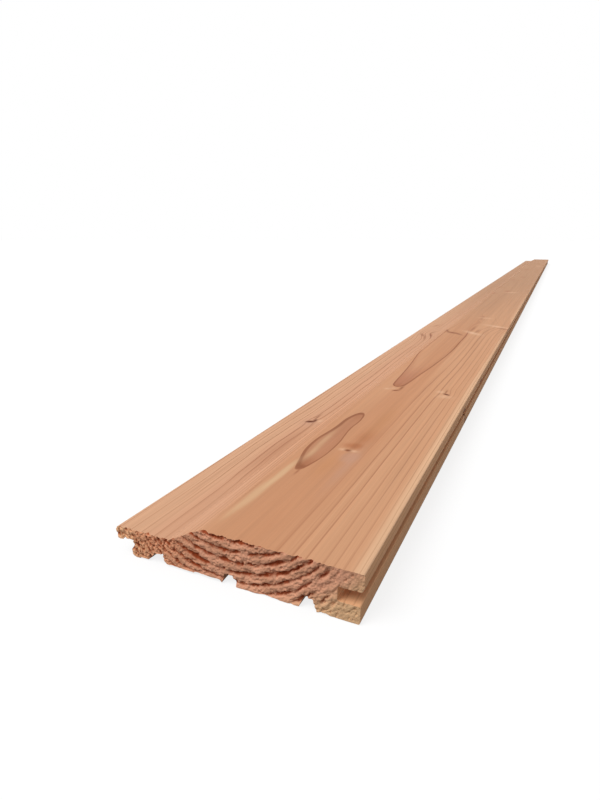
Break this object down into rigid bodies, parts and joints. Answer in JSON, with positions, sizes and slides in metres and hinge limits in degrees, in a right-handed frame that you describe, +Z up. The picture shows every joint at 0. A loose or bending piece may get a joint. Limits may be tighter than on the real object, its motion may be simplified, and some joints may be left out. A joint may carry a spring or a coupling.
{
  "type": "tongue and groove siding board",
  "caption": "Long planed softwood siding board with a tongue on one edge, a groove on the other, a bevelled ledge along its face and relief channels in its back.",
  "frame": {"origin": "centre of the bounding box, on the planed back", "axes": "+X across the board from the tongue to the groove, +Y along the grain away from the sawn end that the picture shows, +Z up through the weather face"},
  "size_m": [0.146, 4, 0.027],
  "materials": {
    "planed_fir": "planed, unfinished softwood with torn saw-cut ends"
  },
  "bodies": {
    "root": {"siding_board": "planed_fir"}
  },
  "joints": []
}
